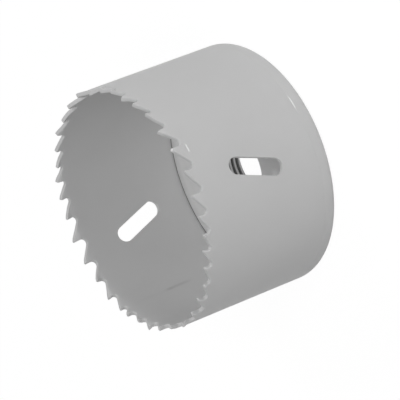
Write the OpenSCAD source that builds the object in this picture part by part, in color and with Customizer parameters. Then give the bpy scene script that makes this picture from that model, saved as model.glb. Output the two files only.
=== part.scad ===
// Bi-metal hole saw cup: a toothed strip rolled and butt-welded into a tube, seated on a round
// back plate with a threaded arbor hole. The origin is the centre of the back plate's outer face,
// and +Z runs up the axis to the tooth tips.

/* [Cup] */
// Outside diameter of the rolled wall; the set teeth cut 1 mm wider
body_d = 63; // [60:0.5:66]
// Thickness of the toothed strip
wall_t = 1.1; // [0.9:0.1:1.4]
// Height from the back plate's outer face to the tooth tips
overall_h = 41.3; // [38:0.1:52]

/* [Back plate] */
// Thickness of the plate at its middle
plate_t = 5.5; // [5:0.1:7]
// Height of the shoulder that the strip stands on
shoulder_h = 4; // [3.5:0.1:4.4]
// Radius of the plate's rounded outer corner
corner_r = 2.2; // [1:0.1:3]
// Chamfer round the spigot's top edge
spigot_chamfer = 0.2; // [0.1:0.1:0.8]
// Width of the groove between the spigot and the strip
spigot_gap = 0.26; // [0.02:0.02:0.5]

/* [Arbor fixing] */
// Bore of the threaded arbor hole, the minor diameter of a 5/8 inch fine thread
arbor_bore_d = 14.5; // [14.3:0.05:14.8]
// Mouth diameter of the 45 degree countersink at each end of the arbor hole
arbor_sink_d = 16.6; // [16:0.1:18]
// Diameter of each drive-pin hole
pin_hole_d = 6.6; // [6:0.1:7]
// Mouth diameter of the chamfer at each end of a drive-pin hole
pin_sink_d = 7.4; // [7.2:0.1:8]
// Diameter of the circle through the drive-pin holes' centres
pin_circle_d = 27; // [25.5:0.5:32]
// Azimuth of the first drive-pin hole, with the first slug slot at zero
pin_azimuth = 90; // [0:5:175]

/* [Slug slots] */
// Length of a slot from end to end
slot_l = 15.2; // [12:0.1:18]
// Width of a slot
slot_w = 4.3; // [3.5:0.1:6]
// Height of each slot's centre above the outer face
slot_h = 21.6; // [19:0.1:24]
// Lean of a slot's long axis from the cup's axis
slot_lean = 19.2; // [0:0.2:30]
// Azimuth of the second slot, as pitched along the flat strip
second_slot_azimuth = 188.5; // [170:0.5:190]

/* [Teeth] */
// Tooth pitches of one variable-pitch group, along the outer wall, clockwise from the weld
pitches = [5.2, 5.7, 5.9, 6.4, 6.2, 5.4, 4.8, 4.4, 4.7];
// Depth of the gullet that follows each pitch's tooth in the group
gullet_depths = [2.0, 2.3, 3.0, 3.3, 3.0, 2.5, 2.2, 1.8, 2.0];
// Number of whole groups round the cup; a short gap at the weld closes the ring
groups = 4; // [4:1:4]
// Azimuth of the first tooth tip, just short of the butt weld
first_tip_azimuth = 228.9; // [0:0.1:359]
// Hook of the cutting face beyond square
rake = 5; // [0:1:10]
// Relief of the narrow land behind each tip
relief = 24; // [15:1:30]
// Length of the land behind each tip
land_l = 0.9; // [0.5:0.1:1.2]
// Flat left on each painted tip
tip_flat = 0.25; // [0.2:0.05:0.4]
// Distance that a set tip stands out of, or inside, the wall
set_out = 0.5; // [0.2:0.05:0.7]
// Part of a tooth's shorter side that bends with the set
set_part = 0.7; // [0.5:0.05:0.75]

/* [Hidden] */
$fn = 96;
body_r = body_d / 2;
inner_r = body_r - wall_t;
middle_r = body_r - wall_t / 2;
group_n = len(pitches);
tooth_n = groups * group_n + 1;
deg_per_mm = 180 / (PI * body_r);
// Radial reach of a cutter past both faces of the wall: the set, the wall's curve across a pitch
// and some clearance
reach = set_out + body_r * (1 - cos(max(pitches) * deg_per_mm)) + 0.6;
// Height by which a cutter passes the surface that it starts from
over = 1;
// Height by which a gullet's faces run on above the tips, without meeting the next gullet
rim_over = 0.1;
// Steps of the arc at the bottom of a gullet
arc_steps = 8;
// Distances ahead of a tip, inside its gullet, at which the set's added and cut metal ends
set_lead = 0.5;
unset_lead = 0.4;
// Part of the set by which the leaning planes run on below the bend, past the wall's face
set_root = 0.5;
paint = [0.72, 0.72, 0.72];

// Sum of a list's first n values, with the list repeated as often as needed
function run_sum(list, n) = n <= 0 ? 0 : list[(n - 1) % len(list)] + run_sum(list, n - 1);
// Azimuth of the tip of tooth i, counted clockwise from the weld
function tip_azimuth(i) = first_tip_azimuth - run_sum(pitches, i) * deg_per_mm;
// Length of the closing gap at the weld
closing_pitch = PI * body_d - groups * run_sum(pitches, group_n);
// Pitch and depth of the gullet between tooth i and the tooth before it
function gullet_pitch(i) = i == 0 ? closing_pitch : pitches[(i - 1) % group_n];
function gullet_depth(i) = i == 0 ? 0.9 * min(gullet_depths) : gullet_depths[(i - 1) % group_n];
// Set of tooth i: straight, out and in, by turns
function tooth_set(i) = [0, 1, -1][i % 3] * set_out;
// Depth below the tips at which tooth i starts to bend, above both of its gullets' floors
function bend_depth(i) = set_part * min(gullet_depth(i), gullet_depth((i + 1) % tooth_n));

// Places a flat outline, drawn with X along the wall and Y up the axis, as a prism through the wall
module through_wall(azimuth, height) {
    rotate([0, 0, azimuth])
        translate([body_r - wall_t - reach, 0, height])
            rotate([90, 0, 90])
                linear_extrude(wall_t + 2 * reach)
                    children();
}

// One gullet, with the tip of its own cutting face at the origin and the next tip one pitch along:
// hooked cutting face, round bottom, back flank and the relieved land of the next tooth
module gullet_outline(pitch, depth) {
    r = 0.36 * depth;
    centre = [r / cos(rake) - (depth - r) * tan(rake), r - depth];
    land = [pitch - tip_flat - land_l, -land_l * tan(relief)];
    aim = land - centre;
    face_angle = -180 - rake;
    flank_angle = atan2(aim.y, aim.x) - acos(r / norm(aim));
    bottom = [for (k = [0 : arc_steps])
        let (angle = face_angle + (flank_angle - face_angle) * k / arc_steps)
        centre + r * [cos(angle), sin(angle)]];
    polygon(concat(
        [[rim_over * tan(rake), rim_over]],
        bottom,
        [land, [pitch - tip_flat + rim_over / tan(relief), rim_over]]
    ));
}

// Cuts every gullet from the rim
module gullets() {
    for (i = [0 : tooth_n - 1])
        through_wall(tip_azimuth(i), overall_h)
            gullet_outline(middle_r * sin(gullet_pitch(i) * deg_per_mm), gullet_depth(i));
}

// Section, drawn with X outward and Y up the axis, carried straight across tooth i; both of its ends
// stand in the gullets beside the tooth, lead ahead of the tip
module across_tooth(i, lead) {
    span = gullet_pitch((i + 1) % tooth_n);
    rotate([0, 0, tip_azimuth(i) + (lead - span / 2) * deg_per_mm])
        rotate([90, 0, 0])
            linear_extrude(span, center = true)
                children();
}

// Metal that leaning by the set adds to one face of tooth i; side is 1 for the wall's outer face
// and -1 for its inner face
module set_metal(i, face_r, side) {
    bend = bend_depth(i);
    root_r = face_r - side * set_root * set_out;
    across_tooth(i, set_lead)
        polygon([
            [root_r, overall_h - (1 + set_root) * bend],
            [face_r + side * set_out * (1 + over / bend), overall_h + over],
            [root_r, overall_h + over]
        ]);
}

// Metal that leaning by the set takes from one face of tooth i; side points out of the wall
module unset_metal(i, face_r, side) {
    bend = bend_depth(i);
    clear_r = face_r + side * over;
    root_h = overall_h - (1 + set_root) * bend;
    across_tooth(i, unset_lead)
        polygon([
            [face_r + side * set_root * set_out, root_h],
            [face_r - side * set_out * (1 + over / bend), overall_h + over],
            [clear_r, overall_h + over],
            [clear_r, root_h]
        ]);
}

// Slanted slot with round ends
module slot_outline() {
    straight = slot_l - slot_w;
    rotate(-slot_lean) {
        square([slot_w, straight], center = true);
        for (end = [-1, 1])
            translate([0, end * straight / 2]) circle(d = slot_w);
    }
}

// Toothed strip rolled into a tube; the teeth are set straight, out and in by turns
module saw_shell() {
    color(paint)
    difference() {
        union() {
            rotate_extrude()
                translate([inner_r, shoulder_h]) square([wall_t, overall_h + over - shoulder_h]);
            for (i = [0 : tooth_n - 1]) {
                if (tooth_set(i) > 0) set_metal(i, body_r, 1);
                if (tooth_set(i) < 0) set_metal(i, inner_r, -1);
            }
        }
        translate([0, 0, overall_h]) cylinder(r = body_r + 2 * over, h = 2 * over);
        gullets();
        for (i = [0 : tooth_n - 1]) {
            if (tooth_set(i) > 0) unset_metal(i, inner_r, -1);
            if (tooth_set(i) < 0) unset_metal(i, body_r, 1);
        }
        for (azimuth = [0, second_slot_azimuth])
            through_wall(azimuth, slot_h) slot_outline();
    }
}

// Hole with a 45 degree countersink at both faces of the plate
module sunk_hole(hole_d, sink_d) {
    sink_h = (sink_d - hole_d) / 2;
    translate([0, 0, -over]) cylinder(d = hole_d, h = plate_t + 2 * over);
    translate([0, 0, -over]) cylinder(d1 = sink_d + 2 * over, d2 = hole_d, h = sink_h + over);
    translate([0, 0, plate_t - sink_h]) cylinder(d1 = hole_d, d2 = sink_d + 2 * over, h = sink_h + over);
}

// Section of the plate: rounded outer corner, shoulder for the strip and chamfered spigot
module plate_section() {
    spigot_r = inner_r - spigot_gap;
    difference() {
        union() {
            intersection() {
                translate([body_r - corner_r, corner_r]) circle(corner_r);
                square([body_r, corner_r]);
            }
            square([body_r - corner_r, shoulder_h]);
            translate([0, corner_r]) square([body_r, shoulder_h - corner_r]);
            polygon([
                [0, corner_r],
                [spigot_r, corner_r],
                [spigot_r, plate_t - spigot_chamfer],
                [spigot_r - spigot_chamfer, plate_t],
                [0, plate_t]
            ]);
        }
        translate([-body_r, 0]) square([body_r, plate_t]);
    }
}

// Round back plate with the arbor thread and two drive-pin holes
module back_plate() {
    color(paint)
    difference() {
        rotate_extrude() plate_section();
        sunk_hole(arbor_bore_d, arbor_sink_d);
        for (turn = [0, 180])
            rotate([0, 0, pin_azimuth + turn])
                translate([pin_circle_d / 2, 0, 0])
                    sunk_hole(pin_hole_d, pin_sink_d);
    }
}

saw_shell();
back_plate();
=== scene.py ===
"""Looks of a bi-metal hole saw: a toothed steel strip rolled into a cup, on a threaded back plate.

Sizes are millimetres while a piece is made, and finish_piece shrinks it to metres. The origin is the
middle of the back plate's outer face, +Z runs up the axis to the tooth tips, and azimuth 0 is at the
near slot.
"""

import logging
import math
from bisect import bisect_left
from contextlib import contextmanager
from dataclasses import dataclass, field
from enum import Enum
from typing import Callable, Iterator, Sequence

import bmesh
import bpy
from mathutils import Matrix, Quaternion, Vector

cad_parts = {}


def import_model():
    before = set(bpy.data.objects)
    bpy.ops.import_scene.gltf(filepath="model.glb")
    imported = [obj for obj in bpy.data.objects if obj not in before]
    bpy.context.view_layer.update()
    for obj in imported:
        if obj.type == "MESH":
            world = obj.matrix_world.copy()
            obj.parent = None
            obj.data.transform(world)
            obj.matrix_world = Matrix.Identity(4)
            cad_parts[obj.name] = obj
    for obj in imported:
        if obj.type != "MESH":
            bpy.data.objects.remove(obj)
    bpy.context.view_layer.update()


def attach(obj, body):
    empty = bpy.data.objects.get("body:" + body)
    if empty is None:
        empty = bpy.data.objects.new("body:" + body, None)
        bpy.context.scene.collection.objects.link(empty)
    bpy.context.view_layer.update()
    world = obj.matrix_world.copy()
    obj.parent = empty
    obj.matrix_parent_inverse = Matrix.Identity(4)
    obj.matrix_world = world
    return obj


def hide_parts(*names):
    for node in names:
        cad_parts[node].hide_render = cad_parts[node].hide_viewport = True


LOG = logging.getLogger("hole_saw")
BODY = "root"

# Metres in a millimetre
MM = 0.001

# Points that are closer than this, in millimetres, are one
WELD = 0.004

# Least weight of a point that counts
LEAST_WEIGHT = 0.001

# Part of a normal along an axis past which a face is square to it
SQUARE = 0.9

# Faces that meet at less than this angle are shaded as one surface
SMOOTH_BELOW = math.radians(32)

# Place off every line of symmetry, from which elements are put in order
SORT_FROM = (211.3, -97.7, 153.1)

# The rings of a wave texture are pi over this apart at scale 1
RING_RATE = 10

# Middle and half size in degrees of an azimuth range that takes in the whole turn
ALL_ROUND = (0.0, 400.0)


class Element(Enum):
    """Kind of mesh element that an edit step selects."""

    POINT = "VERT"
    EDGE = "EDGE"
    FACE = "FACE"

    def of(self, mesh: bmesh.types.BMesh) -> Sequence:
        """Elements of this kind in a mesh."""
        return {Element.POINT: mesh.verts, Element.EDGE: mesh.edges, Element.FACE: mesh.faces}[self]


def pick(piece: bpy.types.Object) -> None:
    """Deselects everything, then selects one piece and makes it active."""
    bpy.ops.object.select_all(action="DESELECT")
    piece.select_set(True)
    bpy.context.view_layer.objects.active = piece


@contextmanager
def edit_mode(piece: bpy.types.Object) -> Iterator[None]:
    """Opens one piece in edit mode and closes it again."""
    pick(piece)
    bpy.ops.object.mode_set(mode="EDIT")
    bpy.ops.mesh.select_mode(type=Element.POINT.value)
    try:
        yield
    finally:
        bpy.ops.object.mode_set(mode="OBJECT")


def select_where(piece: bpy.types.Object, kind: Element, test: Callable[..., bool]) -> None:
    """Selects elements of a piece that is open in edit mode.

    Args:
        piece: The piece in edit mode.
        kind: What to select.
        test: Says of one element whether it is wanted.
    """
    bpy.ops.mesh.select_mode(type=kind.value)
    bpy.ops.mesh.select_all(action="DESELECT")
    mesh = bmesh.from_edit_mesh(piece.data)
    mesh.normal_update()
    for item in [item for item in kind.of(mesh) if test(item)]:
        item.select_set(True)
    mesh.select_flush_mode()
    bmesh.update_edit_mesh(piece.data, loop_triangles=False, destructive=False)


def draw_outline(name: str, points: Sequence[Vector], filled: bool = True) -> bpy.types.Object:
    """Draws a closed outline point by point, as a run of extruded vertices.

    Args:
        name: Name of the new piece.
        points: Corners of the outline, in order.
        filled: Whether a face closes the outline.

    Returns:
        The outline.
    """
    bpy.ops.object.select_all(action="DESELECT")
    bpy.ops.mesh.primitive_plane_add(size=1.0)
    piece = bpy.context.active_object
    piece.name = piece.data.name = name
    with edit_mode(piece):
        bpy.ops.mesh.select_all(action="SELECT")
        bpy.ops.mesh.merge(type="CENTER")
        bpy.ops.transform.translate(value=points[0])
        for start, end in zip(points, [*points[1:], points[0]]):
            bpy.ops.mesh.extrude_vertices_move(TRANSFORM_OT_translate={"value": end - start})
        bpy.ops.mesh.select_all(action="SELECT")
        bpy.ops.mesh.remove_doubles(threshold=WELD)
        if filled:
            bpy.ops.mesh.select_all(action="SELECT")
            bpy.ops.mesh.edge_face_add()
    return piece


def extrude_along(piece: bpy.types.Object, run: Vector) -> None:
    """Makes a filled outline a closed block."""
    with edit_mode(piece):
        bpy.ops.mesh.select_all(action="SELECT")
        bpy.ops.mesh.extrude_region_move(TRANSFORM_OT_translate={"value": run})
        bpy.ops.mesh.select_all(action="SELECT")
        bpy.ops.mesh.normals_make_consistent(inside=False)


def spin_round(piece: bpy.types.Object, steps: int) -> None:
    """Turns a closed section in the XZ plane into a ring round the Z axis."""
    with edit_mode(piece):
        bpy.ops.mesh.select_all(action="SELECT")
        bpy.ops.mesh.spin(steps=steps, angle=2 * math.pi, center=(0, 0, 0), axis=(0, 0, 1))
        bpy.ops.mesh.select_all(action="SELECT")
        bpy.ops.mesh.remove_doubles(threshold=WELD)
        bpy.ops.mesh.normals_make_consistent(inside=False)


def cut_lines(piece: bpy.types.Object, normal: Vector, places: Sequence[float]) -> None:
    """Cuts edges all through a piece without parting it.

    Args:
        piece: The piece.
        normal: Direction across the cuts.
        places: Distance of each cut from the origin.
    """
    with edit_mode(piece):
        for place in places:
            bpy.ops.mesh.select_all(action="SELECT")
            bpy.ops.mesh.bisect(plane_co=normal * place, plane_no=normal)
        bpy.ops.mesh.select_all(action="SELECT")
        bpy.ops.mesh.remove_doubles(threshold=WELD)


def apply_modifier(piece: bpy.types.Object, kind: str, **settings: object) -> None:
    """Adds one modifier to a piece and applies it.

    Args:
        piece: The piece.
        kind: The modifier's type.
        settings: The modifier's values by name.
    """
    pick(piece)
    modifier = piece.modifiers.new(kind.title(), kind)
    for name, value in settings.items():
        setattr(modifier, name, value)
    bpy.ops.object.modifier_apply(modifier=modifier.name)


def settle_order(piece: bpy.types.Object) -> None:
    """Puts a piece's elements in order by place, because cuts and bevels order them anew in each run."""
    cursor = bpy.context.scene.cursor
    cursor.location = SORT_FROM
    with edit_mode(piece):
        bpy.ops.mesh.select_all(action="SELECT")
        bpy.ops.mesh.sort_elements(type="CURSOR_DISTANCE", elements={kind.value for kind in Element})
    cursor.location = (0, 0, 0)


def cut_away(piece: bpy.types.Object, tool: bpy.types.Object) -> None:
    """Cuts a tool's shape out of a piece and clears the tool away."""
    apply_modifier(piece, "BOOLEAN", operation="DIFFERENCE", solver="EXACT", object=tool)
    bpy.data.objects.remove(tool, do_unlink=True)
    settle_order(piece)


def push(piece: bpy.types.Object, distance: float, weight: Callable[[Vector], float]) -> None:
    """Moves a flat strip's points along its thickness, by weight.

    Args:
        piece: The strip.
        distance: Move at full weight; a positive one goes to the side that ends up inside the cup.
        weight: Weight from 0 to 1 of a point at a place.
    """
    group = piece.vertex_groups.new(name="push")
    for vertex in piece.data.vertices:
        value = weight(vertex.co)
        if value > LEAST_WEIGHT:
            group.add([vertex.index], value, "REPLACE")
    apply_modifier(
        piece, "DISPLACE", direction="Y", mid_level=0.0, strength=distance, vertex_group=group.name
    )
    piece.vertex_groups.clear()


def finish_piece(piece: bpy.types.Object, material: bpy.types.Material, node: str) -> None:
    """Smooths a finished piece, shrinks it to metres, dresses it and places it in the frame.

    Args:
        piece: The piece, in millimetres and in place.
        material: Its finish.
        node: The node that it stands for.
    """
    pick(piece)
    piece.scale = (MM, MM, MM)
    bpy.ops.object.transform_apply(location=True, rotation=True, scale=True)
    bpy.ops.object.shade_smooth_by_angle(angle=SMOOTH_BELOW)
    apply_modifier(piece, "WEIGHTED_NORMAL", keep_sharp=True)
    piece.data.materials.clear()
    piece.data.materials.append(material)
    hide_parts(node)
    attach(piece, BODY)


def report_piece(piece: bpy.types.Object) -> None:
    """Logs a finished piece with its number of triangles."""
    triangles = sum(len(face.vertices) - 2 for face in piece.data.polygons)
    LOG.info("%s is finished with %d triangles", piece.name, triangles)


@dataclass(frozen=True)
class Mark:
    """Patch of another tone or of steel: middle and half size in radius, azimuth and height.

    The tone is the colour's level at the patch's middle, or the share of steel there. The soft part is the
    share of the half size over which the patch fades. Some tones are painted light or painted shade, and
    the steel patches give painted glints.
    """

    radius: tuple[float, float]
    azimuth: tuple[float, float]
    height: tuple[float, float]
    soft: float
    tone: float = 1.0

    def spans(self) -> list[tuple[float, float]]:
        """Middle and half size in metres, radians and metres."""
        turn = tuple(math.radians(value) for value in self.azimuth)
        radius, height = [(middle * MM, half * MM) for middle, half in (self.radius, self.height)]
        return [radius, turn, height]


@dataclass(frozen=True)
class Enamel:
    """Satin stove enamel over steel, with faint clouds, orange peel and a soft sheen.

    The cloud is the share by which the grey wanders, and the turned values belong to the rings that a
    lathe leaves. Sizes, heights and the pitch are millimetres.
    """

    name: str
    grey: float
    cloud: float = 0.025
    cloud_size: float = 14.0
    roughness: tuple[float, float] = (0.55, 0.65)
    sheen_size: float = 14.0 / 3
    gloss: float = 0.1
    peel_size: float = 1.1
    peel_height: float = 0.004
    grain_size: float = 0.22
    grain_height: float = 0.0012
    turned_pitch: float = 0.0
    turned_height: float = 0.0
    turned_waver: float = 0.6
    marks: tuple[Mark, ...] = ()
    # Steel patches, placed where they give painted glints
    glint_steel: tuple[Mark, ...] = ()

    def make(self) -> bpy.types.Material:
        """Builds the node material.

        Returns:
            The material.
        """
        material = bpy.data.materials.new(self.name)
        material.use_nodes = True
        tree = material.node_tree
        shader = tree.nodes["Principled BSDF"]
        shader.inputs["Specular IOR Level"].default_value = self.gloss
        place = tree.nodes.new("ShaderNodeTexCoord").outputs["Object"]
        cloud = self._noise(tree, place, self.cloud_size, detail=3.0)
        tone = tree.nodes.new("ShaderNodeMix")
        tone.data_type = "RGBA"
        for name, share in (("A", 1 - self.cloud), ("B", 1 + self.cloud)):
            end = next(s for s in tone.inputs if s.name == name and s.type == "RGBA")
            end.default_value = (*[self.grey * share] * 3, 1)
        tree.links.new(cloud, tone.inputs[0])
        colour = next(s for s in tone.outputs if s.type == "RGBA")
        for mark in self.marks:
            colour = self._toned(tree, colour, self._share(tree, place, mark), mark.tone)
        tree.links.new(colour, shader.inputs["Base Color"])
        # Metal share of the steel patches, which give painted glints
        steel = None
        for mark in self.glint_steel:
            share = self._math(tree, "MULTIPLY", self._share(tree, place, mark), mark.tone)
            steel = self._math(tree, "ADD", steel, share) if steel else share
        if steel:
            tree.links.new(steel, shader.inputs["Metallic"])
        sheen = tree.nodes.new("ShaderNodeMapRange")
        sheen.inputs["To Min"].default_value, sheen.inputs["To Max"].default_value = self.roughness
        patches = self._noise(tree, place, self.sheen_size, detail=2.0)
        tree.links.new(patches, sheen.inputs["Value"])
        tree.links.new(sheen.outputs["Result"], shader.inputs["Roughness"])
        peel = self._noise(tree, place, self.peel_size, detail=1.0)
        bump = self._bump(tree, peel, self.peel_height, None)
        grain = self._noise(tree, place, self.grain_size, detail=2.0)
        bump = self._bump(tree, grain, self.grain_height, bump)
        if self.turned_height:
            bump = self._bump(tree, self._rings(tree, place), self.turned_height, bump)
        tree.links.new(bump, shader.inputs["Normal"])
        return material

    def _noise(
        self, tree: bpy.types.NodeTree, place: bpy.types.NodeSocket, size: float, detail: float
    ) -> bpy.types.NodeSocket:
        """Adds noise with features of a size in millimetres.

        Args:
            tree: The material's nodes.
            place: Coordinates in metres.
            size: Size of a feature in millimetres.
            detail: Octaves.

        Returns:
            The noise's value.
        """
        noise = tree.nodes.new("ShaderNodeTexNoise")
        noise.inputs["Scale"].default_value = 1 / (size * MM)
        noise.inputs["Detail"].default_value = detail
        tree.links.new(place, noise.inputs["Vector"])
        return noise.outputs["Fac"]

    def _share(
        self, tree: bpy.types.NodeTree, place: bpy.types.NodeSocket, mark: Mark
    ) -> bpy.types.NodeSocket:
        """Tells how far a place lies inside a mark.

        Args:
            tree: The material's nodes.
            place: Coordinates in metres.
            mark: The mark.

        Returns:
            1 inside, falling to 0 at its borders.
        """
        split = tree.nodes.new("ShaderNodeSeparateXYZ")
        tree.links.new(place, split.inputs["Vector"])
        x, y, z = [split.outputs[axis] for axis in "XYZ"]
        squares = [self._math(tree, "MULTIPLY", side, side) for side in (x, y)]
        radius = self._math(tree, "SQRT", self._math(tree, "ADD", *squares))
        azimuth = self._math(tree, "ARCTAN2", y, x)
        share = None
        for value, (middle, half) in zip((radius, azimuth, z), mark.spans()):
            away = self._math(tree, "ABSOLUTE", self._math(tree, "SUBTRACT", value, middle))
            fade = tree.nodes.new("ShaderNodeMapRange")
            fade.interpolation_type = "SMOOTHSTEP"
            fade.inputs["From Min"].default_value = half
            fade.inputs["From Max"].default_value = half * (1 - mark.soft)
            tree.links.new(away, fade.inputs["Value"])
            inside = fade.outputs["Result"]
            share = self._math(tree, "MULTIPLY", share, inside) if share else inside
        return share

    def _toned(
        self,
        tree: bpy.types.NodeTree,
        colour: bpy.types.NodeSocket,
        share: bpy.types.NodeSocket,
        tone: float,
    ) -> bpy.types.NodeSocket:
        """Makes the colour darker or paler where a mark lies.

        Args:
            tree: The material's nodes.
            colour: The colour without the mark.
            share: How far each place lies inside the mark.
            tone: Level of the colour at the mark's middle.

        Returns:
            The colour with the mark.
        """
        level = tree.nodes.new("ShaderNodeMapRange")
        level.inputs["To Min"].default_value = 1.0
        level.inputs["To Max"].default_value = tone
        tree.links.new(share, level.inputs["Value"])
        scale = tree.nodes.new("ShaderNodeVectorMath")
        scale.operation = "SCALE"
        tree.links.new(colour, scale.inputs[0])
        tree.links.new(level.outputs["Result"], scale.inputs["Scale"])
        return scale.outputs["Vector"]

    def _math(
        self, tree: bpy.types.NodeTree, operation: str, *values: bpy.types.NodeSocket | float
    ) -> bpy.types.NodeSocket:
        """Adds one step of arithmetic.

        Args:
            tree: The material's nodes.
            operation: Its kind.
            values: Sockets or plain numbers, in order.

        Returns:
            The result.
        """
        step = tree.nodes.new("ShaderNodeMath")
        step.operation = operation
        for socket, value in zip(step.inputs, values):
            if isinstance(value, bpy.types.NodeSocket):
                tree.links.new(value, socket)
            else:
                socket.default_value = value
        return step.outputs["Value"]

    def _rings(self, tree: bpy.types.NodeTree, place: bpy.types.NodeSocket) -> bpy.types.NodeSocket:
        """Adds the rings that turning leaves on the plate's faces.

        Args:
            tree: The material's nodes.
            place: Coordinates in metres.

        Returns:
            The rings' height.
        """
        rings = tree.nodes.new("ShaderNodeTexWave")
        rings.wave_type = "RINGS"
        rings.rings_direction = "Z"
        rings.inputs["Scale"].default_value = math.pi / (RING_RATE * self.turned_pitch * MM)
        rings.inputs["Distortion"].default_value = self.turned_waver
        tree.links.new(place, rings.inputs["Vector"])
        return rings.outputs["Fac"]

    def _bump(
        self,
        tree: bpy.types.NodeTree,
        height: bpy.types.NodeSocket,
        depth: float,
        below: bpy.types.NodeSocket | None,
    ) -> bpy.types.NodeSocket:
        """Adds one layer of relief.

        Args:
            tree: The material's nodes.
            height: Relief from 0 to 1.
            depth: Height in millimetres at 1.
            below: Normal of the layer below, if there is one.

        Returns:
            The new normal.
        """
        bump = tree.nodes.new("ShaderNodeBump")
        bump.inputs["Distance"].default_value = depth * MM
        tree.links.new(height, bump.inputs["Height"])
        if below:
            tree.links.new(below, bump.inputs["Normal"])
        return bump.outputs["Normal"]


def arc(centre: Vector, radius: float, start: float, end: float, steps: int) -> list[Vector]:
    """Lays points along an arc in the XZ plane.

    Args:
        centre: Middle of the circle.
        radius: Its radius.
        start: Angle of the first point.
        end: Angle of the last point.
        steps: Number of equal steps between them.

    Returns:
        The points, both ends among them.
    """
    angles = [start + (end - start) * k / steps for k in range(steps + 1)]
    return [centre + radius * Vector((math.cos(a), 0, math.sin(a))) for a in angles]


@dataclass(frozen=True)
class SawTeeth:
    """Variable-pitch teeth, counted clockwise from the weld, with lengths along the outer wall.

    The floor part and the set part are shares of a gullet's depth, for the radius of its floor and for
    the height over which a tooth is set. The closing part is the share of the least depth that the gullet
    at the weld has. Teeth are set straight, out and in by turns, which makes the set turns three.
    """

    pitches: tuple[float, ...] = (5.2, 5.7, 5.9, 6.4, 6.2, 5.4, 4.8, 4.4, 4.7)
    depths: tuple[float, ...] = (2.0, 2.3, 3.0, 3.3, 3.0, 2.5, 2.2, 1.8, 2.0)
    groups: int = 4
    first_tip: float = 228.9
    rake: float = math.radians(5)
    relief: float = math.radians(24)
    land: float = 0.9
    tip_flat: float = 0.25
    floor_part: float = 0.36
    closing_part: float = 0.9
    set_part: float = 0.7
    set_turns: int = 3
    arc_steps: int = 12
    tip_round: float = 0.3
    tip_steps: int = 6

    @property
    def count(self) -> int:
        """Number of teeth."""
        return self.groups * len(self.pitches) + 1

    def run(self, tooth: int) -> float:
        """Distance from the first tip to a tooth's tip."""
        return sum(self.pitches[i % len(self.pitches)] for i in range(tooth))

    def depth(self, gullet: int) -> float:
        """Depth of the gullet in front of a tooth's cutting face."""
        if gullet % self.count == 0:
            return self.closing_part * min(self.depths)
        return self.depths[(gullet - 1) % len(self.depths)]

    def floor_x(self, gullet: int) -> float:
        """Distance from a cutting face's tip to the deepest point of its gullet."""
        depth = self.depth(gullet)
        radius = self.floor_part * depth
        return radius / math.cos(self.rake) - (depth - radius) * math.tan(self.rake)

    def gullet(self, number: int, pitch: float) -> tuple[list[Vector], list[Vector]]:
        """Outline of one gullet and the tip of its cutting face.

        Args:
            number: Number of the tooth whose cutting face stands in the gullet.
            pitch: Distance between the two tips.

        Returns:
            The half from the tooth's round tip to the deepest point, and the half from there to the start
            of the next tooth's land, both with X from the cutting face's tip and Z from the tips' height.
        """
        depth = self.depth(number)
        radius = self.floor_part * depth
        centre = Vector((self.floor_x(number), 0, radius - depth))
        land = Vector((pitch - self.tip_flat - self.land, 0, -self.land * math.tan(self.relief)))
        aim = land - centre
        face_angle = -math.pi - self.rake
        flank_angle = math.atan2(aim.z, aim.x) - math.acos(radius / aim.length)
        floor = [face_angle, -math.pi / 2, flank_angle]
        front, back = [arc(centre, radius, *ends, self.arc_steps // 2) for ends in zip(floor, floor[1:])]
        return [*self._tip(), *front], [*back, land]

    def _tip(self) -> list[Vector]:
        """Rounded tip of a tooth, from its land to its cutting face."""
        crest = Vector((0, 0, self.tip_flat * math.tan(self.relief)))
        opening = math.pi / 2 - self.relief - self.rake
        middle = -math.pi / 2 - self.rake - opening / 2
        reach = self.tip_round / math.sin(opening / 2)
        centre = crest + reach * Vector((math.cos(middle), 0, math.sin(middle)))
        return arc(centre, self.tip_round, math.pi / 2 + self.relief, -self.rake, self.tip_steps)


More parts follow.
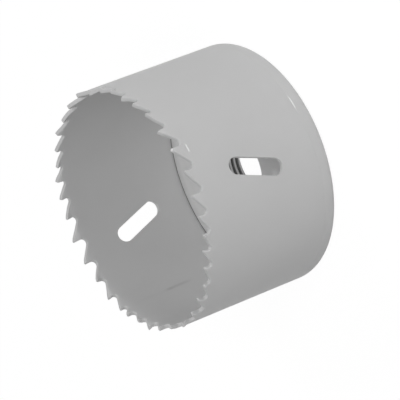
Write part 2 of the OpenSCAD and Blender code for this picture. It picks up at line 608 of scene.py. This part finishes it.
@dataclass
class ToothedWall:
    """Toothed strip with two slug slots, rolled into a tube and welded.

    Rows and columns are the lines along which the flat strip bends. They lie closer by the teeth and by
    the ends. The seam's span is the low end, the deepest point and the high end of its groove.
    """

    finish: Enamel
    teeth: SawTeeth = field(default_factory=SawTeeth)
    outer_r: float = 31.5
    wall: float = 1.1
    foot: float = 4.0
    height: float = 41.3
    set_out: float = 0.5
    set_soft: float = 0.12
    slot_l: float = 15.2
    slot_w: float = 4.3
    slot_h: float = 21.6
    slot_lean: float = math.radians(19.2)
    slot_azimuths: tuple[float, float] = (0.0, 188.5)
    slot_steps: int = 20
    tooth_round: float = 0.24
    edge_round: float = 0.1
    joint_round: float = 0.05
    tooth_segments: int = 4
    edge_segments: int = 3
    columns: int = 180
    end_insets: tuple[float, ...] = (0.1, 0.2, 0.3, 0.4, 0.5, 0.65, 0.9)
    rows: tuple[float, ...] = (
        *(6.0, 12.0, 16.0, 18.0, 20.0, 22.0, 24.0),
        *(26.0, 28.0, 30.0, 32.5, 35.0, 37.0, 38.0),
    )
    top_row: float = 0.4
    top_rows: int = 6
    end_gap: float = 5 * WELD
    seam_depth: float = 0.05
    seam_w: float = 0.2
    seam_inset: float = 0.37
    seam_span: tuple[float, float, float] = (18.0, 26.0, 30.0)

    @property
    def mid_r(self) -> float:
        """Radius of the layer in the wall that rolling neither stretches nor presses."""
        return self.outer_r - self.wall / 2

    @property
    def half(self) -> float:
        """Half of the flat strip's length."""
        return math.pi * self.mid_r

    @property
    def shrink(self) -> float:
        """Length on the middle layer for one along the outer wall."""
        return self.mid_r / self.outer_r

    @property
    def seam(self) -> float:
        """Azimuth of the weld, at the deepest point of the gullet that closes the ring."""
        return self.teeth.first_tip + math.degrees(self.teeth.floor_x(0) / self.mid_r)

    def build(self) -> bpy.types.Object:
        """Makes the wall.

        Returns:
            The finished piece.
        """
        strip = self._blank()
        cut_lines(strip, Vector((1, 0, 0)), [self._strip_x(azimuth) for azimuth in self.slot_azimuths])
        for azimuth in self.slot_azimuths:
            cut_away(strip, self._slot_punch(azimuth))
        self._open_ends(strip)
        self._round_edges(strip)
        self._divide(strip)
        self._bend_teeth(strip)
        self._sink_seam(strip)
        self._roll(strip)
        finish_piece(strip, self.finish.make(), "saw_shell")
        return strip

    def _tip_x(self, tooth: int) -> float:
        """Place of a tooth's tip along the flat strip."""
        return self.half - self.teeth.floor_x(0) - self.teeth.run(tooth) * self.shrink

    def _blank(self) -> bpy.types.Object:
        """Draws the flat strip with its teeth and gives it its thickness."""
        closing = 2 * self.half - self.teeth.run(self.teeth.count - 1) * self.shrink
        last_x = self._tip_x(0) - 2 * self.half
        top = Vector((0, -self.wall / 2, self.height))
        outline = [top + Vector((last_x, 0, 0)) + p for p in self.teeth.gullet(0, closing)[1]]
        for tooth in range(self.teeth.count - 1, 0, -1):
            pitch = self._tip_x(tooth - 1) - self._tip_x(tooth)
            face_half, back_half = self.teeth.gullet(tooth, pitch)
            tip = top + Vector((self._tip_x(tooth), 0, 0))
            outline += [tip + p for p in [*face_half, *back_half[1:]]]
        outline += [top + Vector((self._tip_x(0), 0, 0)) + p for p in self.teeth.gullet(0, closing)[0]]
        outline += [Vector((side * self.half, -self.wall / 2, self.foot)) for side in (1, -1)]
        strip = draw_outline("toothed_wall", outline)
        extrude_along(strip, Vector((0, self.wall, 0)))
        return strip

    def _strip_x(self, azimuth: float) -> float:
        """Place along the flat strip that an azimuth comes from."""
        return self.mid_r * math.radians((azimuth - self.seam) % 360 - 180)

    def _slot_punch(self, azimuth: float) -> bpy.types.Object:
        """Makes the punch of one slanted slot with round ends."""
        along = Vector((math.sin(self.slot_lean), 0, math.cos(self.slot_lean)))
        across = Vector((along.z, 0, -along.x))
        centre = Vector((self._strip_x(azimuth), -self.wall, self.slot_h))
        half_turn = [math.pi * k / self.slot_steps for k in range(self.slot_steps + 1)]
        points = []
        for end in (1, -1):
            middle = centre + along * end * (self.slot_l - self.slot_w) / 2
            spokes = [end * (across * math.cos(a) + along * math.sin(a)) for a in half_turn]
            points += [middle + spoke * self.slot_w / 2 for spoke in spokes]
        punch = draw_outline("slot_punch", points)
        extrude_along(punch, Vector((0, 2 * self.wall, 0)))
        return punch

    def _open_ends(self, strip: bpy.types.Object) -> None:
        """Takes off the two end faces that the weld joins."""
        with edit_mode(strip):
            select_where(strip, Element.FACE, lambda f: abs(f.calc_center_median().x) > self.half - WELD)
            bpy.ops.mesh.delete(type="ONLY_FACE")

    def _round_edges(self, strip: bpy.types.Object) -> None:
        """Rounds the long edges, where the enamel draws thin."""

        def is_rim(edge: bmesh.types.BMEdge) -> bool:
            """Whether an edge joins a face of the strip to its side."""
            if len(edge.link_faces) != 2:
                return False
            side, flat = sorted(abs(face.normal.y) for face in edge.link_faces)
            return side < 1 - SQUARE and flat > SQUARE

        above = self.height - max(self.teeth.depths) - self.tooth_round
        below = self.foot + WELD
        rounds = [
            (above, math.inf, self.tooth_round, self.tooth_segments),
            (below, above, self.edge_round, self.edge_segments),
            (0.0, below, self.joint_round, self.edge_segments),
        ]
        with edit_mode(strip):
            for low, high, size, segments in rounds:
                select_where(
                    strip, Element.EDGE, lambda e: is_rim(e) and all(low < v.co.z < high for v in e.verts)
                )
                bpy.ops.mesh.bevel(offset=size, segments=segments, affect="EDGES", clamp_overlap=False)
            bpy.ops.mesh.select_all(action="SELECT")
            bpy.ops.mesh.remove_doubles(threshold=WELD)
        settle_order(strip)

    def _divide(self, strip: bpy.types.Object) -> None:
        """Cuts columns and rows into the strip, so that it can be set and rolled."""
        step = 2 * self.half / self.columns
        columns = [i * step - self.half for i in range(1, self.columns)]
        columns += [side * (self.half - inset) for side in (1, -1) for inset in self.end_insets]
        rows = [*self.rows, *[self.height - self.top_row * k for k in range(1, self.top_rows + 1)]]
        cut_lines(strip, Vector((1, 0, 0)), columns)
        cut_lines(strip, Vector((0, 0, 1)), rows)

    def _bend_teeth(self, strip: bpy.types.Object) -> None:
        """Sets the teeth straight, out and in by turns."""
        count = self.teeth.count
        floors = [self._tip_x(i) + self.teeth.floor_x(i) for i in range(count - 1, -1, -1)]

        def lean(place: Vector, turn: int) -> float:
            """Part of the set that a point gets, for teeth of one turn."""
            tooth = max(0, count - 1 - bisect_left(floors, place.x))
            if tooth % self.teeth.set_turns != turn:
                return 0.0
            bend = self.teeth.set_part * min(self.teeth.depth(tooth), self.teeth.depth(tooth + 1))
            up = (place.z - self.height + bend) / bend
            soft = self.set_soft
            return max(0.0, (math.hypot(up, soft) - soft) / (math.hypot(1, soft) - soft)) if up > 0 else 0.0

        push(strip, -self.set_out, lambda place: lean(place, 1))
        push(strip, self.set_out, lambda place: lean(place, 2))

    def _sink_seam(self, strip: bpy.types.Object) -> None:
        """Sinks the shallow groove that dressing the butt weld left beside part of it, inside."""

        def depth(place: Vector) -> float:
            """Part of the groove's depth at a point."""
            low, peak, high = self.seam_span
            across = (self.half - self.seam_inset - place.x) / self.seam_w
            along = min((place.z - low) / (peak - low), (high - place.z) / (high - peak))
            return math.exp(-(across**2)) * max(0.0, along) if place.y > 0 else 0.0

        push(strip, -self.seam_depth, depth)

    def _roll(self, strip: bpy.types.Object) -> None:
        """Rolls the strip into a tube and welds its ends."""
        apply_modifier(
            strip, "SIMPLE_DEFORM", deform_method="BEND", deform_axis="Z", angle=2 * math.pi
        )
        with edit_mode(strip):
            bpy.ops.mesh.select_all(action="SELECT")
            bpy.ops.transform.translate(value=(0, -self.mid_r, 0))
            bpy.ops.mesh.remove_doubles(threshold=self.end_gap)
            bpy.ops.mesh.dissolve_degenerate(threshold=WELD)
        strip.rotation_euler = (0, 0, math.radians(self.seam - 90))
        pick(strip)
        bpy.ops.object.transform_apply(location=True, rotation=True, scale=True)


@dataclass
class BackPlate:
    """Turned plate with the shoulder for the wall, the arbor thread and two drive-pin holes.

    The mouth's and the sink's rounds are steps in radius and height from the rim of a pin hole and from
    the foot of its chamfer. The thread's crest is points of the tap's section, as radius and half width.
    """

    finish: Enamel
    outer_r: float = 31.5
    shoulder: float = 4.0
    spigot_r: float = 30.14
    thickness: float = 5.5
    spigot_chamfer: float = 0.2
    corner: float = 2.2
    corner_steps: int = 10
    edge_round: float = 0.1
    joint_round: float = 0.05
    edge_segments: int = 3
    bore_r: float = 7.25
    bore_sink: float = 1.05
    pin_r: float = 3.3
    pin_sink: float = 0.4
    pin_circle_r: float = 13.5
    pin_azimuths: tuple[float, float] = (90.0, 270.0)
    pin_over: float = 1.0
    mouth_round: tuple[tuple[float, float], ...] = ((0.1, -0.02), (0.0, 0.03))
    sink_round: tuple[tuple[float, float], ...] = ((0.04, -0.02), (0.0, 0.08))
    thread_pitch: float = 1.411
    thread_r: float = 7.94
    thread_root: float = 0.09
    thread_flank: float = math.radians(30)
    thread_flank_r: float = 7.38
    thread_crest: tuple[tuple[float, float], ...] = (
        (7.30, 0.46),
        (7.26, 0.51),
        (7.20, 0.59),
        (6.90, 0.59),
    )
    thread_phase: float = -75.0
    thread_turns: int = 7
    thread_steps: int = 64
    steps: int = 160
    hole_steps: int = 48

    def build(self) -> bpy.types.Object:
        """Makes the plate.

        Returns:
            The finished piece.
        """
        plate = self._turned()
        for azimuth in self.pin_azimuths:
            cut_away(plate, self._pin_punch(azimuth))
        cut_away(plate, self._tap())
        finish_piece(plate, self.finish.make(), "back_plate")
        return plate

    def _turned(self) -> bpy.types.Object:
        """Turns the plate from its section."""
        sink_r = self.bore_r + self.bore_sink
        middle = Vector((self.outer_r - self.corner, 0, self.corner))
        corner = [(p.x, p.z) for p in arc(middle, self.corner, -math.pi / 2, 0, self.corner_steps)]
        sharp = [
            (self.outer_r, self.shoulder),
            (self.spigot_r, self.thickness - self.spigot_chamfer),
            (self.spigot_r - self.spigot_chamfer, self.thickness),
            (sink_r, self.thickness),
            (self.bore_r, self.thickness - self.bore_sink),
            (self.bore_r, self.bore_sink),
            (sink_r, 0),
        ]
        section = [*corner, sharp[0], (self.spigot_r, self.shoulder), *sharp[1:]]
        plate = draw_outline("back_plate_piece", [Vector((r, 0, z)) for r, z in section], filled=False)
        with edit_mode(plate):
            for corners, size in ((sharp[:1], self.joint_round), (sharp[1:], self.edge_round)):
                places = [Vector((r, 0, z)) for r, z in corners]
                select_where(
                    plate, Element.POINT, lambda v: min((v.co - place).length for place in places) < WELD
                )
                bpy.ops.mesh.bevel(offset=size, segments=self.edge_segments, affect="VERTICES")
        spin_round(plate, self.steps)
        return plate

    def _pin_punch(self, azimuth: float) -> bpy.types.Object:
        """Makes the tool for one drive-pin hole, whose flared ends leave round chamfers."""
        over = self.pin_over
        mouth = self.pin_r + self.pin_sink
        half = [
            (mouth + over + self.mouth_round[0][0], -over),
            *[(mouth + r, z) for r, z in self.mouth_round],
            *[(self.pin_r + r, self.pin_sink + z) for r, z in self.sink_round],
        ]
        section = [(0, -over), *half, *[(r, self.thickness - z) for r, z in reversed(half)]]
        section.append((0, self.thickness + over))
        punch = draw_outline("pin_punch", [Vector((r, 0, z)) for r, z in section], filled=False)
        spin_round(punch, self.hole_steps)
        turn = math.radians(azimuth)
        punch.location = (self.pin_circle_r * math.cos(turn), self.pin_circle_r * math.sin(turn), 0)
        pick(punch)
        bpy.ops.object.transform_apply(location=True, rotation=True, scale=True)
        return punch

    def _tap(self) -> bpy.types.Object:
        """Makes the tap that cuts the right-hand thread, flared so that the crests come out round."""
        flank_w = self.thread_root + (self.thread_r - self.thread_flank_r) * math.tan(self.thread_flank)
        half = [(self.thread_r, self.thread_root), (self.thread_flank_r, flank_w), *self.thread_crest]
        low = (self.thickness - self.thread_turns * self.thread_pitch) / 2
        section = [Vector((r, 0, low + w)) for r, w in half]
        section += [Vector((r, 0, low - w)) for r, w in reversed(half)]
        tap = draw_outline("tap", section, filled=False)
        apply_modifier(
            tap,
            "SCREW",
            axis="Z",
            angle=2 * math.pi,
            screw_offset=self.thread_pitch,
            iterations=self.thread_turns,
            steps=self.thread_steps,
            render_steps=self.thread_steps,
            use_merge_vertices=False,
        )
        with edit_mode(tap):
            bpy.ops.mesh.select_all(action="SELECT")
            bpy.ops.mesh.fill_holes(sides=2 * len(half))
            bpy.ops.mesh.normals_make_consistent(inside=False)
        tap.rotation_euler = (0, 0, math.radians(self.thread_phase))
        pick(tap)
        bpy.ops.object.transform_apply(location=True, rotation=True, scale=True)
        return tap


@dataclass(frozen=True)
class Softbox:
    """Flat soft lamp that faces the saw, in degrees, metres and watts."""

    name: str
    azimuth: float
    elevation: float
    distance: float
    width: float
    height: float
    power: float

    def hang(self, aim: Vector) -> None:
        """Hangs the lamp.

        Args:
            aim: Point that it faces.
        """
        azimuth, elevation = math.radians(self.azimuth), math.radians(self.elevation)
        level = math.cos(elevation)
        way = Vector((level * math.cos(azimuth), level * math.sin(azimuth), math.sin(elevation)))
        bpy.ops.object.light_add(type="AREA", location=aim + way * self.distance)
        lamp = bpy.context.active_object
        lamp.name = self.name
        lamp.rotation_euler = way.to_track_quat("Z", "Y").to_euler()
        lamp.data.shape = "RECTANGLE"
        lamp.data.size = self.width
        lamp.data.size_y = self.height
        lamp.data.energy = self.power


@dataclass
class Studio:
    """White floor and surround, soft lamps, and the camera at the photograph's angle.

    The floor's sizes and the lamps' aim are metres, the camera's places and lens millimetres.
    """

    white: float = 1.0
    surround: float = 0.245
    floor_size: float = 6.0
    floor_gap: float = 0.00002
    shadow_share: float = 0.08
    floor_glow: float = 1.04
    camera_place: tuple[float, float, float] = (691.464, 23.677, 448.543)
    camera_aim: tuple[float, float, float] = (0.195, -3.938, 20.589)
    camera_roll: float = -111.388
    camera_lens: float = 292.08
    sensor: float = 36.0
    lamp_aim: tuple[float, float, float] = (0.0, 0.0, 0.02)
    lamps: tuple[Softbox, ...] = (
        Softbox("high_softbox", 20.0, 50.0, 1.6, 0.5, 0.5, 4.5),
        Softbox("left_softbox", 330.0, 60.0, 1.6, 0.5, 0.5, 3.15),
        Softbox("right_softbox", 100.0, 45.0, 1.6, 0.5, 0.5, 3.0),
        Softbox("low_softbox", 39.0, 1.4, 1.6, 0.6, 0.1, 3.1),
    )

    def build(self) -> None:
        """Sets up the surround, floor, lamps and camera."""
        self._world()
        self._floor()
        for lamp in self.lamps:
            lamp.hang(Vector(self.lamp_aim))
        self._camera()
        bpy.context.scene.view_settings.view_transform = "Standard"

    def _seen(self, tree: bpy.types.NodeTree) -> bpy.types.NodeSocket:
        """Adds nodes that tell whether the camera, a reflection or glass looks at a surface.

        Args:
            tree: The nodes of the world or of a material.

        Returns:
            1 where one of them does.
        """
        path = tree.nodes.new("ShaderNodeLightPath")
        total = path.outputs["Is Camera Ray"]
        for kind in ("Is Glossy Ray", "Is Transmission Ray"):
            add = tree.nodes.new("ShaderNodeMath")
            add.operation = "MAXIMUM"
            tree.links.new(total, add.inputs[0])
            tree.links.new(path.outputs[kind], add.inputs[1])
            total = add.outputs["Value"]
        return total

    def _world(self) -> None:
        """Makes the even surround: white to look at, and a plain grey level as light."""
        world = bpy.data.worlds.new("surround")
        bpy.context.scene.world = world
        world.use_nodes = True
        tree = world.node_tree
        tree.nodes.clear()
        light, seen = [tree.nodes.new("ShaderNodeBackground") for _ in range(2)]
        light.inputs["Strength"].default_value = self.surround
        seen.inputs["Strength"].default_value = self.white
        for shader in (light, seen):
            shader.inputs["Color"].default_value = (1, 1, 1, 1)
        mix = tree.nodes.new("ShaderNodeMixShader")
        output = tree.nodes.new("ShaderNodeOutputWorld")
        tree.links.new(self._seen(tree), mix.inputs["Fac"])
        tree.links.new(light.outputs["Background"], mix.inputs[1])
        tree.links.new(seen.outputs["Background"], mix.inputs[2])
        tree.links.new(mix.outputs["Shader"], output.inputs["Surface"])

    def _floor(self) -> None:
        """Lays the floor, which looks white and keeps a faint shadow."""
        bpy.ops.object.select_all(action="DESELECT")
        bpy.ops.mesh.primitive_plane_add(size=self.floor_size, location=(0, 0, -self.floor_gap))
        floor = bpy.context.active_object
        floor.name = "floor"
        material = bpy.data.materials.new("pale_floor")
        material.use_nodes = True
        tree = material.node_tree
        tree.nodes.clear()
        seen = self._seen(tree)
        matt = tree.nodes.new("ShaderNodeBsdfDiffuse")
        matt.inputs["Color"].default_value = (1, 1, 1, 1)
        glow = tree.nodes.new("ShaderNodeEmission")
        glow.inputs["Strength"].default_value = self.floor_glow
        share = tree.nodes.new("ShaderNodeMath")
        share.operation = "MULTIPLY"
        share.inputs[1].default_value = 1 - self.shadow_share
        mix = tree.nodes.new("ShaderNodeMixShader")
        output = tree.nodes.new("ShaderNodeOutputMaterial")
        tree.links.new(seen, share.inputs[0])
        tree.links.new(share.outputs["Value"], mix.inputs["Fac"])
        tree.links.new(matt.outputs["BSDF"], mix.inputs[1])
        tree.links.new(glow.outputs["Emission"], mix.inputs[2])
        tree.links.new(mix.outputs["Shader"], output.inputs["Surface"])
        floor.data.materials.append(material)

    def _camera(self) -> None:
        """Places the camera."""
        place, aim = Vector(self.camera_place) * MM, Vector(self.camera_aim) * MM
        bpy.ops.object.camera_add(location=place)
        camera = bpy.context.active_object
        camera.name = "camera"
        level = (aim - place).to_track_quat("-Z", "Y")
        roll = Quaternion((0, 0, 1), math.radians(self.camera_roll))
        camera.rotation_euler = (level @ roll).to_euler()
        camera.data.sensor_width = self.sensor
        camera.data.lens = self.camera_lens
        bpy.context.scene.camera = camera


def make_finishes() -> tuple[Enamel, Enamel]:
    """Names the marks that the photograph shows and puts them on the two finishes.

    Returns:
        The wall's enamel and the plate's.
    """
    # Painted shade: the crevice between the wall and the plate's spigot is darkened.
    crevice_shade = Mark(radius=(30.22, 0.25), azimuth=ALL_ROUND, height=(4.7, 0.72), soft=0.05, tone=0.5)
    weld = Mark(radius=(30.4, 0.5), azimuth=(-131.0, 1.3), height=(22.8, 5.0), soft=0.7, tone=0.9)
    weld_end = Mark(radius=(30.4, 0.5), azimuth=(-130.8, 1.3), height=(25.8, 1.6), soft=0.9, tone=0.91)
    weld_tail = Mark(radius=(30.4, 0.5), azimuth=(-130.6, 1.3), height=(29.0, 10.0), soft=0.6, tone=0.98)
    # Painted light: the inside of the wall is made paler, to lift the shade in the cup.
    inside = Mark(radius=(0.0, 30.9), azimuth=ALL_ROUND, height=(22.0, 20.0), soft=0.01, tone=1.05)
    # Painted light: the plate's inner face is made paler.
    inner_face_light = Mark(radius=(0.0, 30.0), azimuth=ALL_ROUND, height=(5.5, 0.5), soft=0.1, tone=1.14)
    # Painted shade: the outer ring of the plate's inner face, beside the wall, is darkened as if in the
    # wall's shadow.
    wall_shadow_ring = Mark(radius=(27.5, 4.0), azimuth=ALL_ROUND, height=(5.5, 0.5), soft=0.6, tone=0.96)
    # Painted light: a pale spot on the plate's inner face, where light falls through the near slot.
    slot_light_spot = Mark(radius=(14.4, 2.2), azimuth=(-20.0, 11.0), height=(5.5, 0.5), soft=0.9, tone=1.22)
    # The thread, mostly its roots and flanks, is darker.
    thread = Mark(radius=(7.75, 0.45), azimuth=ALL_ROUND, height=(2.75, 2.0), soft=0.2, tone=0.3)
    # Steel patches placed where they give painted glints: at the wall's foot, on the wall under the teeth
    # and on one tooth tip.
    joint_glint = Mark(radius=(31.5, 0.3), azimuth=(21.0, 4.2), height=(3.98, 0.22), soft=0.5)
    wall_glint = Mark(radius=(31.5, 0.3), azimuth=(18.6, 2.4), height=(37.2, 0.2), soft=0.4)
    tip_glint = Mark(radius=(31.5, 1.5), azimuth=(19.8, 1.6), height=(41.25, 0.3), soft=0.6, tone=0.6)
    grey = 0.7
    wall = Enamel(
        "wall_enamel",
        grey,
        marks=(inside, crevice_shade, weld, weld_end, weld_tail),
        glint_steel=(joint_glint, wall_glint, tip_glint),
    )
    plate = Enamel(
        "plate_enamel",
        grey,
        turned_pitch=0.5,
        turned_height=0.002,
        marks=(inner_face_light, crevice_shade, thread, slot_light_spot, wall_shadow_ring),
        glint_steel=(joint_glint,),
    )
    return wall, plate


def main() -> None:
    """Builds the saw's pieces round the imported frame, then the studio."""
    logging.basicConfig(level=logging.INFO, format="%(name)s: %(message)s")
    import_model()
    wall_finish, plate_finish = make_finishes()
    for part in (ToothedWall(wall_finish), BackPlate(plate_finish)):
        report_piece(part.build())
    Studio().build()


if __name__ == "__main__":
    main()
